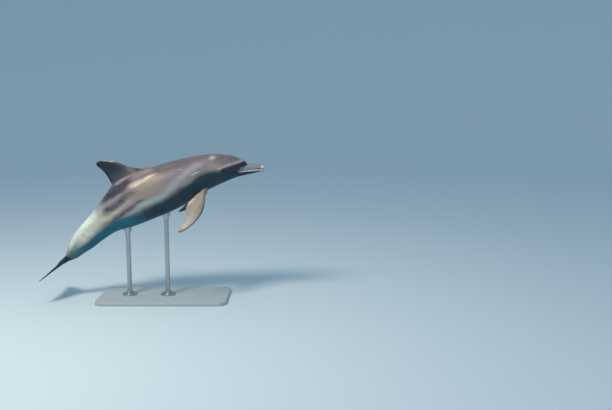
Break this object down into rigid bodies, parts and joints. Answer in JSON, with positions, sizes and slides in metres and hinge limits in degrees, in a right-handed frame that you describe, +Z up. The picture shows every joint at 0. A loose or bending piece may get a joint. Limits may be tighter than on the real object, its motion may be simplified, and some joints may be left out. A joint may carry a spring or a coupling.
{
  "type": "bottlenose dolphin",
  "caption": "Life-size bottlenose dolphin gliding upwards with its tail curled down, with a hooked dorsal fin, swept flippers and level flukes, on a flat base with steel posts.",
  "frame": {"origin": "centre of the underside of the stand's base, on the floor, close to below the centre of mass", "axes": "+X towards the dolphin's head, +Y towards its left side, +Z up"},
  "size_m": [1.8702, 0.56, 1.2441],
  "materials": {
    "skin": "smooth wet-looking grey skin, darker on the back and fins and paler on the flanks",
    "eye": "glossy dark brown eye",
    "base_paint": "satin pale grey painted board",
    "post_steel": "brushed stainless steel"
  },
  "bodies": {
    "root": {"head": "skin", "upper_beak": "skin", "lower_jaw": "skin", "chest": "skin", "abdomen": "skin", "tail_stock": "skin", "dorsal_fin": "skin", "flipper_right": "skin", "flipper_left": "skin", "fluke_right": "skin", "fluke_left": "skin", "eye_right": "eye", "eye_left": "eye", "stand_base": "base_paint", "stand_flange_front": "post_steel", "stand_flange_rear": "post_steel", "stand_post_front": "post_steel", "stand_post_rear": "post_steel", "stand_cup_front": "post_steel", "stand_cup_rear": "post_steel"}
  },
  "joints": []
}
